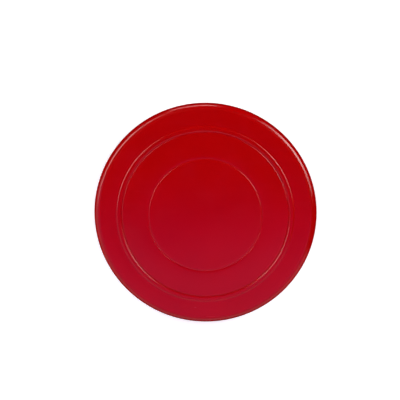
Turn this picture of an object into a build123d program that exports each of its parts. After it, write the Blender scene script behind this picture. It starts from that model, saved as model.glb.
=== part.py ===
"""Air hockey puck: a rimmed body with a thin web, and two face discs pinned together through it.

Millimetres, +Z up. The origin is the centre of the puck, halfway between its two faces, and Z is
its axis. The puck plays either way up, so both faces are the same.
"""

from build123d import *
import os

# Overall sizes
puck_diameter = 82.55
rim_thickness = 5.8
edge_flat = 0.6

# Outer land, from the edge in to the foot of the raised band, and the band round each face disc
land_width = 8.45
band_width = 1.7
band_height = 0.3
band_slope_width = 0.35
band_lip_radius = 0.25
band_foot_radius = 0.4

# Face disc, and the recess that it sits in
disc_fit_clearance = 0.03
web_thickness = 2.0
seam_lip_radius = 0.25
recess_corner_radius = 0.3
disc_back_chamfer = 0.5

# Centre plateau on each face disc
plateau_diameter = 41.5
plateau_height = 0.3
plateau_slope_width = 0.5
plateau_lip_radius = 0.2
plateau_foot_radius = 1.2

# Pins that join the two discs through the web
pin_count = 3
pin_circle_diameter = 30.0
pin_diameter = 4.0
pin_engagement = 1.2
pin_tip_chamfer = 0.4
pin_fit_clearance = 0.05
pin_end_clearance = 0.2
web_hole_clearance = 0.15

# Heights above the middle plane
land_level = rim_thickness / 2
face_level = land_level + band_height
plateau_level = face_level + plateau_height
web_level = web_thickness / 2

# Radii from the axis
puck_radius = puck_diameter / 2
edge_radius = (rim_thickness - edge_flat) / 2
band_foot = puck_radius - land_width
band_edge = band_foot - band_slope_width
recess_radius = band_edge - band_width
disc_radius = recess_radius - disc_fit_clearance
plateau_edge = plateau_diameter / 2
plateau_foot = plateau_edge + plateau_slope_width

# Pins and sockets take turns round one circle. Turned over about X, a disc's pins land on its sockets.
pin_circle_radius = pin_circle_diameter / 2
pin_length = web_thickness + pin_engagement
pin_step = 360 / pin_count
pin_start = pin_step / 4
socket_start = pin_start + pin_step / 2
socket_depth = pin_engagement + pin_end_clearance


# Body: rim, raised bands and web, turned as the half above the middle plane and mirrored
with BuildPart() as puck_body:
    with BuildSketch(Plane.XZ):
        with BuildLine():
            FilletPolyline(
                (0, 0),
                (puck_radius, 0),
                (puck_radius, land_level),
                (band_foot, land_level),
                (band_edge, face_level),
                (recess_radius, face_level),
                (recess_radius, web_level),
                (0, web_level),
                radius=[
                    0,
                    0,
                    edge_radius,
                    band_foot_radius,
                    band_lip_radius,
                    seam_lip_radius,
                    recess_corner_radius,
                    0,
                ],
                close=True,
            )
        make_face()
    revolve(axis=Axis.Z)
    mirror(about=Plane.XY)
    # Holes in the web, for the pins of both discs
    with PolarLocations(pin_circle_radius, 2 * pin_count, start_angle=pin_start):
        Hole(radius=pin_diameter / 2 + web_hole_clearance)

# Face disc, as it lies in the upper recess
with BuildPart() as upper_disc:
    with BuildSketch(Plane.XZ):
        with BuildLine():
            FilletPolyline(
                (0, web_level),
                (disc_radius - disc_back_chamfer, web_level),
                (disc_radius, web_level + disc_back_chamfer),
                (disc_radius, face_level),
                (plateau_foot, face_level),
                (plateau_edge, plateau_level),
                (0, plateau_level),
                radius=[0, 0, 0, seam_lip_radius, plateau_foot_radius, plateau_lip_radius, 0],
                close=True,
            )
        make_face()
    revolve(axis=Axis.Z)
    # Pins, which reach down through the web into the lower disc
    with BuildSketch(Plane.XY.offset(web_level)):
        with PolarLocations(pin_circle_radius, pin_count, start_angle=pin_start):
            Circle(pin_diameter / 2)
    extrude(amount=-pin_length)
    pin_tips = upper_disc.faces().sort_by(Axis.Z)[:pin_count]
    chamfer(pin_tips.edges(), pin_tip_chamfer)
    # Sockets for the lower disc's pins
    with BuildSketch(Plane.XY.offset(web_level)):
        with PolarLocations(pin_circle_radius, pin_count, start_angle=socket_start):
            Circle(pin_diameter / 2 + pin_fit_clearance)
    extrude(amount=socket_depth, mode=Mode.SUBTRACT)

# The lower disc is the same moulding turned over
with BuildPart() as lower_disc:
    add(upper_disc.part.rotate(Axis.X, 180))

puck_body.part.label = "puck_body"
upper_disc.part.label = "upper_disc"
lower_disc.part.label = "lower_disc"

os.makedirs("parts", exist_ok=True)
export_step(puck_body.part, "parts/puck_body.step")
export_step(upper_disc.part, "parts/upper_disc.step")
export_step(lower_disc.part, "parts/lower_disc.step")
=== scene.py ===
"""Looks of the air hockey puck: a gloss red plastic body with a face disc let into each side.

The pieces are round mouldings, modelled from cylinders whose caps are inset ring by ring.
Metres, in the frame of the CAD model: Z is the puck's axis and the origin is its centre.
"""

import math

import bmesh
import bpy
from mathutils import Matrix, Vector


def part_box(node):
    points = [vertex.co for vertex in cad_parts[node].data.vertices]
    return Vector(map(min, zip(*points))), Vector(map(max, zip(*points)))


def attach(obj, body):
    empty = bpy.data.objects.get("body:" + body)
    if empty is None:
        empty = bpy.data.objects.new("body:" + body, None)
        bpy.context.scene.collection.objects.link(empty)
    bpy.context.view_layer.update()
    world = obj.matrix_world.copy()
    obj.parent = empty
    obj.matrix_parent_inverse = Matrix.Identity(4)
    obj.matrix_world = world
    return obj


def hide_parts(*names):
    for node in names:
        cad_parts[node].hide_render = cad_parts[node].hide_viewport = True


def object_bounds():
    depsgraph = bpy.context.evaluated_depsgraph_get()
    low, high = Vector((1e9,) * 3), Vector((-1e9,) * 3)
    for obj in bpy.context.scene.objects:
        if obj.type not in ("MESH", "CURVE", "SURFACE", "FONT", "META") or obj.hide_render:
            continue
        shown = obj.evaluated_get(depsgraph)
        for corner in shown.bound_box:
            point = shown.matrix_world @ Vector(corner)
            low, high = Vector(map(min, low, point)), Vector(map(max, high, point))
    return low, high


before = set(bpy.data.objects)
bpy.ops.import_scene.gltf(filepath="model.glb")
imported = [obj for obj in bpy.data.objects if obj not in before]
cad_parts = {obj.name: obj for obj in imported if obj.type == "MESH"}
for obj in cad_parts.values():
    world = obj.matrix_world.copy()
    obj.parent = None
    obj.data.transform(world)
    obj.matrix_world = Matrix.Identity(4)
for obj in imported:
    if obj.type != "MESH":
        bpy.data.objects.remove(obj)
cad_low, cad_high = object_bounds()

MM = 0.001

# How near a face or edge has to be to a height or radius to be picked by it
HEIGHT_TOLERANCE = 0.001 * MM
RING_HEIGHT_TOLERANCE = 0.005 * MM
RING_RADIUS_TOLERANCE = 0.01 * MM

# Sizes read from the frame
body_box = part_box("puck_body")
disc_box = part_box("upper_disc")
puck_radius = body_box[1].x
plateau_level = disc_box[1].z
disc_radius = disc_box[1].x

# Sizes of the mouldings that a box doesn't tell
ROUND_STEPS = 360
PEG_STEPS = 48
EDGE_FLAT = 0.6 * MM
EDGE_RADIUS = 2.6 * MM
EDGE_SEGMENTS = 24
EDGE_MARGIN = 0.05 * MM
BAND_MIDSLOPE = 32.65 * MM
BAND_RISE = 0.21 * MM
BAND_EASE = 0.7 * MM
WEB_THICKNESS = 2.0 * MM
SEAM_CLEARANCE = 0.03 * MM
SEAM_TURN = math.radians(50)
BODY_LIP = 0.2 * MM
DISC_LIP = 0.36 * MM
RECESS_CORNER = 0.3 * MM
BACK_CHAMFER = 0.5 * MM
PLATEAU_RADIUS = 20.72 * MM
PLATEAU_RISE = 0.082 * MM
PLATEAU_EASE = 0.36 * MM
PIN_RADIUS = 2.0 * MM
PIN_CIRCLE = 15.0 * MM
PIN_LENGTH = 3.2 * MM
PIN_TIP = 0.4 * MM
PIN_COUNT = 3
SOCKET_RADIUS = 2.05 * MM
SOCKET_DEPTH = 1.4 * MM
HOLE_RADIUS = 2.15 * MM
TOOL_OVERLAP = 0.2 * MM

# Small marks of the moulding: parting line, the shoulder beside the seam, the moat round the plateau,
# and the swell of each face
PARTING_HEIGHT = 0.03 * MM
PARTING_WIDTH = 0.07 * MM
MOAT_STRAIGHT = 0.015 * MM
MOAT_BEND = 0.03 * MM
MOAT_WIDTH = 0.3 * MM
SLOPE_TURN = math.radians(36.5)
SHOULDER_MIDDLE = 31.25 * MM
SHOULDER_STRAIGHT = 0.12 * MM
SHOULDER_BEND = 0.05 * MM
LAND_SWELL = 0.02 * MM
ANNULUS_SWELL = 0.05 * MM
PLATEAU_SWELL = 0.15 * MM

land_level = EDGE_FLAT / 2 + EDGE_RADIUS
band_level = land_level + BAND_RISE
annulus_level = band_level
plateau_rim_level = plateau_level - PLATEAU_SWELL
web_level = WEB_THICKNESS / 2
recess_radius = disc_radius + SEAM_CLEARANCE


# Ways of working a round piece

def open_to_edit(piece):
    bpy.ops.object.select_all(action="DESELECT")
    bpy.context.view_layer.objects.active = piece
    piece.select_set(True)
    bpy.ops.object.mode_set(mode="EDIT")
    bpy.ops.mesh.select_all(action="DESELECT")


def close_edit():
    bpy.ops.object.mode_set(mode="OBJECT")


def add_round(name, radius, bottom, top, steps=ROUND_STEPS):
    """A plain cylinder about Z, to be shaped further."""
    bpy.ops.object.select_all(action="DESELECT")
    bpy.ops.mesh.primitive_cylinder_add(
        vertices=steps, radius=radius, depth=top - bottom, location=(0, 0, (top + bottom) / 2)
    )
    piece = bpy.context.object
    piece.name = name
    bpy.ops.object.transform_apply(location=True)
    return piece


def pick_cap(piece, height):
    """Selects the flat round face at that height."""
    bpy.ops.mesh.select_mode(type="FACE")
    mesh = bmesh.from_edit_mesh(piece.data)
    for face in mesh.faces:
        level = face.calc_center_median().z
        face.select_set(len(face.verts) > 4 and abs(level - height) < HEIGHT_TOLERANCE)
    bmesh.update_edit_mesh(piece.data)


def pick_ring(piece, radius, height):
    """Selects the round edge of that radius and height."""
    bpy.ops.mesh.select_mode(type="EDGE")
    mesh = bmesh.from_edit_mesh(piece.data)
    for edge in mesh.edges:
        edge.select_set(all(
            abs(math.hypot(vertex.co.x, vertex.co.y) - radius) < RING_RADIUS_TOLERANCE
            and abs(vertex.co.z - height) < RING_HEIGHT_TOLERANCE
            for vertex in edge.verts
        ))
    bmesh.update_edit_mesh(piece.data)


def round_off(piece, radius, height, setback, segments):
    """Cuts back the edge ring of that radius and height: one segment bevels it, more round it."""
    pick_ring(piece, radius, height)
    bpy.ops.mesh.bevel(offset_type="OFFSET", offset=setback, segments=segments, affect="EDGES")


def step_in(width, rise=0.0):
    """Insets the picked cap, and lifts what is left of it."""
    bpy.ops.mesh.inset(thickness=width, depth=rise)


def ease_in(width, rise, steps):
    """Insets the picked cap across a soft step: a hollow arc that runs into a round one."""
    turn = 2 * math.atan(abs(rise) / width)
    arc_radius = width / 2 / math.sin(turn)
    done = 0.0
    for step in range(1, steps + 1):
        across = width * step / steps
        from_end = min(across, width - across)
        climb = arc_radius - math.sqrt(arc_radius ** 2 - from_end ** 2)
        height = climb if across <= width / 2 else abs(rise) - climb
        step_in(width / steps, math.copysign(height - done, rise))
        done = height


def slope_drop(straight, bend):
    """How far a short slope falls."""
    return straight * math.tan(SLOPE_TURN) + 2 * bend * math.tan(SLOPE_TURN / 2)


def slope_in(straight, bend, steps=4):
    """Insets the picked cap down a short straight slope with a small bend at each end."""
    bend_radius = bend / math.sin(SLOPE_TURN)
    falls = [
        bend_radius - math.sqrt(bend_radius ** 2 - (bend * step / steps) ** 2)
        for step in range(steps + 1)
    ]
    for step in range(steps):
        step_in(bend / steps, falls[step] - falls[step + 1])
    step_in(straight, -straight * math.tan(SLOPE_TURN))
    for step in reversed(range(steps)):
        step_in(bend / steps, falls[step] - falls[step + 1])


def lip_width(radius):
    """How far a lip of that radius reaches back from the seam."""
    return radius * math.sin(SEAM_TURN)


def lip_drop(radius):
    """How far a lip of that radius falls towards the seam."""
    return radius * (1 - math.cos(SEAM_TURN))


def lip_in(radius, rising, steps=7):
    """Insets the picked cap across a rounded lip of the seam, up to level or down from it."""
    width = lip_width(radius)
    done = 0.0
    for step in range(1, steps + 1):
        across = width * step / steps
        if rising:
            height = math.sqrt(radius ** 2 - (width - across) ** 2) - radius * math.cos(SEAM_TURN)
        else:
            height = math.sqrt(radius ** 2 - across ** 2) - radius
        step_in(width / steps, height - done)
        done = height


def swell_in(width, rise, swell, steps):
    """Insets the picked cap across a broad ring that bulges by swell as it rises."""
    done = 0.0
    for step in range(1, steps + 1):
        share = step / steps
        height = rise * share + swell * (1 - (2 * share - 1) ** 2)
        step_in(width / steps, height - done)
        done = height


def dome_in(radius, swell, steps):
    """Insets the picked cap towards its centre, rising by swell."""
    last = radius / steps / 2
    width = (radius - last) / steps
    done = 0.0
    for step in range(1, steps + 1):
        height = swell * (1 - (1 - step * width / radius) ** 2)
        step_in(width, height - done)
        done = height


def combine(piece, tool, operation):
    """Adds a tool solid to the piece, or cuts it away."""
    bpy.ops.object.select_all(action="DESELECT")
    bpy.context.view_layer.objects.active = piece
    piece.select_set(True)
    modifier = piece.modifiers.new("combine", "BOOLEAN")
    modifier.operation = operation
    modifier.object = tool
    modifier.solver = "EXACT"
    bpy.ops.object.modifier_apply(modifier=modifier.name)
    bpy.data.objects.remove(tool)


def finish_shading(piece):
    """Smooth faces whose flats stay flat up to the roundings."""
    bpy.ops.object.select_all(action="DESELECT")
    bpy.context.view_layer.objects.active = piece
    piece.select_set(True)
    bpy.ops.object.shade_smooth_by_angle(angle=math.radians(35))
    modifier = piece.modifiers.new("even_shading", "WEIGHTED_NORMAL")
    modifier.keep_sharp = True
    modifier.weight = 90
    bpy.ops.object.modifier_apply(modifier=modifier.name)


def round_places(count, first):
    """Angles evenly round the circle of pins."""
    return [first + 2 * math.pi * place / count for place in range(count)]


def add_peg(radius, bottom, top, angle):
    """A short round tool on the circle of pins."""
    peg = add_round("peg", radius, bottom, top, steps=PEG_STEPS)
    place = (PIN_CIRCLE * math.cos(angle), PIN_CIRCLE * math.sin(angle), 0)
    peg.data.transform(Matrix.Translation(place))
    return peg


# The body: edge, land, raised band and recess, made as its upper half and mirrored

def make_body():
    edge_radius = puck_radius - PARTING_HEIGHT
    body = add_round("puck_body_shell", edge_radius, 0.0, land_level)
    open_to_edit(body)
    pick_cap(body, 0.0)
    bpy.ops.mesh.delete(type="FACE")
    # Parting line: a fine ridge round the middle of the edge
    bpy.ops.mesh.select_all(action="SELECT")
    bpy.ops.mesh.bisect(plane_co=(0, 0, PARTING_WIDTH), plane_no=(0, 0, 1))
    pick_ring(body, edge_radius, 0.0)
    grow = puck_radius / edge_radius
    bpy.ops.transform.resize(value=(grow, grow, 1), center_override=(0, 0, 0))
    # Land, band, shoulder and recess, worked inwards from the edge
    pick_cap(body, land_level)
    land_start = EDGE_RADIUS + EDGE_MARGIN
    band_foot = BAND_MIDSLOPE + BAND_EASE / 2
    step_in(land_start)
    swell_in(edge_radius - land_start - band_foot, 0.0, LAND_SWELL, steps=8)
    ease_in(BAND_EASE, BAND_RISE, steps=12)
    band_top = BAND_MIDSLOPE - BAND_EASE / 2
    shoulder_reach = SHOULDER_STRAIGHT / 2 + SHOULDER_BEND
    step_in(band_top - SHOULDER_MIDDLE - shoulder_reach)
    slope_in(SHOULDER_STRAIGHT, SHOULDER_BEND)
    step_in(SHOULDER_MIDDLE - shoulder_reach - recess_radius - lip_width(BODY_LIP))
    lip_in(BODY_LIP, rising=False)
    ledge_level = band_level - slope_drop(SHOULDER_STRAIGHT, SHOULDER_BEND)
    recess_depth = ledge_level - lip_drop(BODY_LIP) - web_level
    bpy.ops.mesh.extrude_region_move(TRANSFORM_OT_translate={"value": (0, 0, -recess_depth)})
    round_off(body, edge_radius, land_level, EDGE_RADIUS, segments=EDGE_SEGMENTS)
    round_off(body, recess_radius, web_level, RECESS_CORNER, segments=3)
    close_edit()
    modifier = body.modifiers.new("lower_half", "MIRROR")
    modifier.use_axis = (False, False, True)
    modifier.merge_threshold = HEIGHT_TOLERANCE
    bpy.ops.object.modifier_apply(modifier=modifier.name)
    for angle in round_places(2 * PIN_COUNT, math.pi / PIN_COUNT / 2):
        hole = add_peg(HOLE_RADIUS, -2 * web_level, 2 * web_level, angle)
        combine(body, hole, "DIFFERENCE")
    return body


# A face disc: lip, annulus, moat and plateau on the face, pins and sockets on the back

def make_disc():
    edge_level = annulus_level - lip_drop(DISC_LIP)
    disc = add_round("upper_disc_face", disc_radius, web_level, edge_level)
    open_to_edit(disc)
    pick_cap(disc, edge_level)
    moat_inside = PLATEAU_RADIUS + PLATEAU_EASE / 2
    moat_outside = moat_inside + MOAT_WIDTH + 2 * MOAT_BEND + MOAT_STRAIGHT
    plateau_climb = PLATEAU_RISE + slope_drop(MOAT_STRAIGHT, MOAT_BEND)
    annulus_rise = plateau_rim_level - PLATEAU_RISE - annulus_level
    lip_in(DISC_LIP, rising=True)
    swell_in(disc_radius - lip_width(DISC_LIP) - moat_outside, annulus_rise, ANNULUS_SWELL, steps=12)
    slope_in(MOAT_STRAIGHT, MOAT_BEND)
    step_in(MOAT_WIDTH)
    ease_in(PLATEAU_EASE, plateau_climb, steps=10)
    dome_in(PLATEAU_RADIUS - PLATEAU_EASE / 2, PLATEAU_SWELL, steps=16)
    round_off(disc, disc_radius, web_level, BACK_CHAMFER, segments=1)
    close_edit()
    pin_start = math.pi / PIN_COUNT / 2
    for angle in round_places(PIN_COUNT, pin_start):
        pin = add_peg(PIN_RADIUS, web_level - PIN_LENGTH, web_level + TOOL_OVERLAP, angle)
        open_to_edit(pin)
        pick_cap(pin, web_level - PIN_LENGTH)
        bpy.ops.mesh.bevel(offset=PIN_TIP, segments=2, affect="EDGES")
        close_edit()
        combine(disc, pin, "UNION")
    for angle in round_places(PIN_COUNT, pin_start + math.pi / PIN_COUNT):
        socket = add_peg(SOCKET_RADIUS, web_level - TOOL_OVERLAP, web_level + SOCKET_DEPTH, angle)
        combine(disc, socket, "DIFFERENCE")
    return disc


def turn_over(piece, name):
    """A copy of the piece with its own mesh, turned over about X."""
    copy = piece.copy()
    copy.data = piece.data.copy()
    copy.name = name
    bpy.context.scene.collection.objects.link(copy)
    open_to_edit(copy)
    bpy.ops.mesh.select_all(action="SELECT")
    bpy.ops.transform.rotate(value=math.pi, orient_axis="X", center_override=(0, 0, 0))
    close_edit()
    return copy


# Materials

RED = (0.44, 0.0006, 0.0012, 1)
DEEP_RED = (0.405, 0.0004, 0.0010, 1)


def add_node(tree, kind, **settings):
    """A new node with the given settings."""
    node = tree.nodes.new(kind)
    for name, value in settings.items():
        setattr(node, name, value)
    return node


def spread_noise(tree, place, scale, detail, stretch=(1, 1, 1), turn=0.0):
    """Noise over the piece, drawn out along one direction when stretch says so."""
    mapping = add_node(tree, "ShaderNodeMapping")
    mapping.inputs["Rotation"].default_value = (0, 0, turn)
    mapping.inputs["Scale"].default_value = stretch
    noise = add_node(tree, "ShaderNodeTexNoise")
    noise.inputs["Scale"].default_value = scale
    noise.inputs["Detail"].default_value = detail
    tree.links.new(place, mapping.inputs["Vector"])
    tree.links.new(mapping.outputs["Vector"], noise.inputs["Vector"])
    return noise.outputs["Fac"]


def keep_peaks(tree, value, low, high, amount=1.0, rest=0.0):
    """Turns noise into sparse marks: rest below low, and amount from high up."""
    marks = add_node(tree, "ShaderNodeMapRange", interpolation_type="SMOOTHSTEP")
    marks.inputs["From Min"].default_value = low
    marks.inputs["From Max"].default_value = high
    marks.inputs["To Min"].default_value = rest
    marks.inputs["To Max"].default_value = amount
    tree.links.new(value, marks.inputs["Value"])
    return marks.outputs["Result"]


def add_up(tree, *values):
    """The sum of several node outputs."""
    total = values[0]
    for value in values[1:]:
        adder = add_node(tree, "ShaderNodeMath", operation="ADD")
        tree.links.new(total, adder.inputs[0])
        tree.links.new(value, adder.inputs[1])
        total = adder.outputs["Value"]
    return total


def red_plastic(name, hairline_turns):
    """Gloss red plastic: faint flow clouds in the colour, orange peel, hairlines and a few specks."""
    material = bpy.data.materials.new(name)
    material.use_nodes = True
    tree = material.node_tree
    shader = tree.nodes["Principled BSDF"]
    shader.inputs["IOR"].default_value = 1.49
    place = add_node(tree, "ShaderNodeTexCoord").outputs["Object"]

    clouds = add_node(tree, "ShaderNodeValToRGB")
    clouds.color_ramp.elements[0].position = 0.3
    clouds.color_ramp.elements[0].color = DEEP_RED
    clouds.color_ramp.elements[1].position = 0.7
    clouds.color_ramp.elements[1].color = RED
    tree.links.new(spread_noise(tree, place, scale=55, detail=3), clouds.inputs["Fac"])
    tree.links.new(clouds.outputs["Color"], shader.inputs["Base Color"])

    hairlines = add_up(tree, *[
        keep_peaks(
            tree, spread_noise(tree, place, scale=90, detail=1, stretch=(0.5, 26, 1), turn=turn),
            low=0.66, high=0.74,
        )
        for turn in hairline_turns
    ])
    specks = keep_peaks(tree, spread_noise(tree, place, scale=900, detail=0), low=0.80, high=0.86)
    scuffs = keep_peaks(
        tree, spread_noise(tree, place, scale=160, detail=4), low=0.45, high=0.75, amount=0.18, rest=0.13,
    )
    marks = add_node(tree, "ShaderNodeMath", operation="MULTIPLY")
    marks.inputs[1].default_value = 0.09
    tree.links.new(add_up(tree, hairlines, specks), marks.inputs[0])
    tree.links.new(add_up(tree, scuffs, marks.outputs["Value"]), shader.inputs["Roughness"])

    peel = add_node(tree, "ShaderNodeBump")
    peel.inputs["Strength"].default_value = 0.35
    peel.inputs["Distance"].default_value = 0.004 * MM
    tree.links.new(spread_noise(tree, place, scale=420, detail=2), peel.inputs["Height"])
    cuts = add_node(tree, "ShaderNodeBump", invert=True)
    cuts.inputs["Strength"].default_value = 0.3
    cuts.inputs["Distance"].default_value = 0.003 * MM
    tree.links.new(hairlines, cuts.inputs["Height"])
    tree.links.new(peel.outputs["Normal"], cuts.inputs["Normal"])
    tree.links.new(cuts.outputs["Normal"], shader.inputs["Normal"])
    return material


# Studio

WHITE = (1, 1, 1)
WARM_WHITE = (1, 0.97, 0.95)
RAGGEDNESS = 0.07


def aim(thing, place, target, up=Vector((0, 1, 0))):
    """Puts a light or camera at a place, facing a target."""
    back = (place - target).normalized()
    side = up.cross(back).normalized()
    top = back.cross(side)
    thing.matrix_world = Matrix((
        (side.x, top.x, back.x, place.x),
        (side.y, top.y, back.y, place.y),
        (side.z, top.z, back.z, place.z),
        (0, 0, 0, 1),
    ))


def around(azimuth, elevation, distance):
    """A point round the puck. Azimuth is from +X towards +Y."""
    turn, lift = math.radians(azimuth), math.radians(elevation)
    level = Vector((math.cos(turn), math.sin(turn), 0)) * math.cos(lift)
    return (level + Vector((0, 0, math.sin(lift)))) * distance


def add_light(name, azimuth, elevation, width, height, radiance, colour=WHITE, glossy=True, distance=1.0):
    """A flat light that faces the puck, as bright as radiance wherever it is seen."""
    light = bpy.data.lights.new(name, "AREA")
    light.shape = "RECTANGLE"
    light.size = width
    light.size_y = height
    light.energy = radiance * math.pi * width * height
    light.color = colour
    box = bpy.data.objects.new(name, light)
    bpy.context.scene.collection.objects.link(box)
    aim(box, around(azimuth, elevation, distance), Vector((0, 0, 0)), up=Vector((0, 0, 1)))
    box.visible_camera = False
    box.visible_glossy = glossy
    return box


def add_softbox(name, azimuth, elevation, width, height, radiance):
    """A softbox that is brightest in its middle: three lights, each narrower than the last."""
    for layer, share in enumerate((1.0, 0.66, 0.33)):
        add_light(
            f"{name}_{layer}", azimuth, elevation, width * share, height, radiance / 3, WARM_WHITE,
            distance=1.0 - 0.02 * layer,
        )


CAMERA_DISTANCE = 0.4
CAMERA_TILT = math.radians(10)
CAMERA_SIDE = math.radians(83)
# Half the picture's width, and how far its middle lies from the puck's centre, in puck radii
PICTURE_HALF = 1.797
PICTURE_MIDDLE = (-0.0480, 0.1267)


def add_camera():
    data = bpy.data.cameras.new("camera")
    data.sensor_width = 36
    data.lens = data.sensor_width / 2 * CAMERA_DISTANCE / (PICTURE_HALF * puck_radius)
    camera = bpy.data.objects.new("camera", data)
    bpy.context.scene.collection.objects.link(camera)
    target = Vector((PICTURE_MIDDLE[0], PICTURE_MIDDLE[1], 0)) * puck_radius
    lean = math.sin(CAMERA_TILT)
    back = Vector((lean * math.cos(CAMERA_SIDE), lean * math.sin(CAMERA_SIDE), math.cos(CAMERA_TILT)))
    aim(camera, target + back * CAMERA_DISTANCE, target)
    bpy.context.scene.camera = camera


def add_floor():
    """A white floor that the camera sees, and that throws no light back at the puck."""
    bpy.ops.object.select_all(action="DESELECT")
    bpy.ops.mesh.primitive_plane_add(size=20, location=(0, 0, cad_low.z))
    floor = bpy.context.object
    floor.name = "floor"
    material = bpy.data.materials.new("white_floor")
    material.use_nodes = True
    shader = material.node_tree.nodes["Principled BSDF"]
    shader.inputs["Base Color"].default_value = (0.9, 0.9, 0.9, 1)
    shader.inputs["Roughness"].default_value = 0.9
    shader.inputs["Specular IOR Level"].default_value = 0.0
    shader.inputs["Emission Color"].default_value = (1, 1, 1, 1)
    shader.inputs["Emission Strength"].default_value = 0.55
    floor.data.materials.append(material)
    floor.visible_glossy = False
    floor.visible_diffuse = False


def glow_towards(tree, direction, ragged, way, low, high):
    """How far a direction turns one way: 0 below low, 1 from high up, with a ragged edge between."""
    towards = add_node(tree, "ShaderNodeVectorMath", operation="DOT_PRODUCT")
    towards.inputs[1].default_value = way
    tree.links.new(direction, towards.inputs[0])
    wobble = add_node(tree, "ShaderNodeMath", operation="MULTIPLY_ADD")
    wobble.inputs[1].default_value = RAGGEDNESS
    tree.links.new(ragged, wobble.inputs[0])
    tree.links.new(towards.outputs["Value"], wobble.inputs[2])
    glow = add_node(tree, "ShaderNodeMapRange")
    glow.inputs["From Min"].default_value = low
    glow.inputs["From Max"].default_value = high
    tree.links.new(wobble.outputs["Value"], glow.inputs["Value"])
    return glow.outputs["Result"]


def colour_steps(tree, value, *steps):
    """A run of colours, each at its own place between 0 and 1."""
    ramp = add_node(tree, "ShaderNodeValToRGB")
    while len(ramp.color_ramp.elements) < len(steps):
        ramp.color_ramp.elements.new(0.5)
    for element, (position, colour) in zip(ramp.color_ramp.elements, steps):
        element.position = position
        element.color = (*colour, 1)
    tree.links.new(value, ramp.inputs["Fac"])
    return ramp.outputs["Color"]


def add_room():
    """A dim room: dark overhead and behind, and a glow in front that pales towards the horizon."""
    world = bpy.data.worlds.new("room")
    bpy.context.scene.world = world
    world.use_nodes = True
    tree = world.node_tree
    direction = add_node(tree, "ShaderNodeTexCoord").outputs["Generated"]
    height = add_node(tree, "ShaderNodeSeparateXYZ")
    tree.links.new(direction, height.inputs["Vector"])
    ragged = add_node(tree, "ShaderNodeTexNoise")
    ragged.inputs["Scale"].default_value = 14
    ragged.inputs["Detail"].default_value = 2
    tree.links.new(direction, ragged.inputs["Vector"])

    haze = glow_towards(
        tree, direction, ragged.outputs["Fac"], way=(0, -1, 0), low=0.178, high=0.285,
    )
    overhead = colour_steps(
        tree, haze, (0, (0, 0, 0)), (0.6, (0.28, 0.01, 0.28)), (1, (0.50, 0.15, 0.55)),
    )
    front = glow_towards(
        tree, direction, ragged.outputs["Fac"], way=(-0.35, -0.94, 0), low=0.168, high=0.275,
    )
    level = colour_steps(
        tree, height.outputs["Z"], (0, (0.04, 0.03, 0.04)), (0.02, (1.0, 0.97, 1.0)),
        (0.3, (0.68, 0.58, 0.70)), (0.6, (0.38, 0.20, 0.42)), (0.9, (0.40, 0.13, 0.48)),
    )
    lit_level = add_node(tree, "ShaderNodeVectorMath", operation="SCALE")
    tree.links.new(level, lit_level.inputs[0])
    tree.links.new(front, lit_level.inputs["Scale"])

    climb = add_node(tree, "ShaderNodeMapRange", interpolation_type="SMOOTHSTEP")
    climb.inputs["From Min"].default_value = 0.80
    climb.inputs["From Max"].default_value = 0.96
    tree.links.new(height.outputs["Z"], climb.inputs["Value"])
    room = add_node(tree, "ShaderNodeMix", data_type="RGBA")
    tree.links.new(climb.outputs["Result"], room.inputs["Factor"])
    tree.links.new(lit_level.outputs["Vector"], room.inputs["A"])
    tree.links.new(overhead, room.inputs["B"])
    tree.links.new(room.outputs["Result"], tree.nodes["Background"].inputs["Color"])


def add_studio():
    add_softbox("right_softbox", azimuth=28, elevation=25, width=0.90, height=0.46, radiance=8.5)
    add_softbox("left_softbox", azimuth=151, elevation=30, width=1.18, height=0.19, radiance=7.8)
    add_light(
        "back_strip", azimuth=98, elevation=5, width=0.50, height=0.13, radiance=9.0, colour=WARM_WHITE,
    )
    for corner in range(4):
        add_light(
            f"fill_{corner}", azimuth=45 + 90 * corner, elevation=58, width=0.8, height=0.5,
            radiance=1.02, glossy=False, distance=1.2,
        )
    add_light(
        "low_fill", azimuth=150, elevation=18, width=0.9, height=0.3,
        radiance=2.2, glossy=False, distance=1.2,
    )
    bpy.context.scene.view_settings.view_transform = "Standard"


body = make_body()
upper = make_disc()
lower = turn_over(upper, "lower_disc_face")
body_plastic = red_plastic("body_plastic", (0.3, 1.9))
disc_plastic = red_plastic("disc_plastic", (0.8, 2.6))
for piece, node, slot, plastic in (
    (body, "puck_body", "body_plastic", body_plastic),
    (upper, "upper_disc", "disc_plastic", disc_plastic),
    (lower, "lower_disc", "disc_plastic", disc_plastic),
):
    finish_shading(piece)
    piece.data.materials.clear()
    piece.data.materials.append(plastic)
    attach(piece, "root")
    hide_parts(node)

add_camera()
add_floor()
add_room()
add_studio()
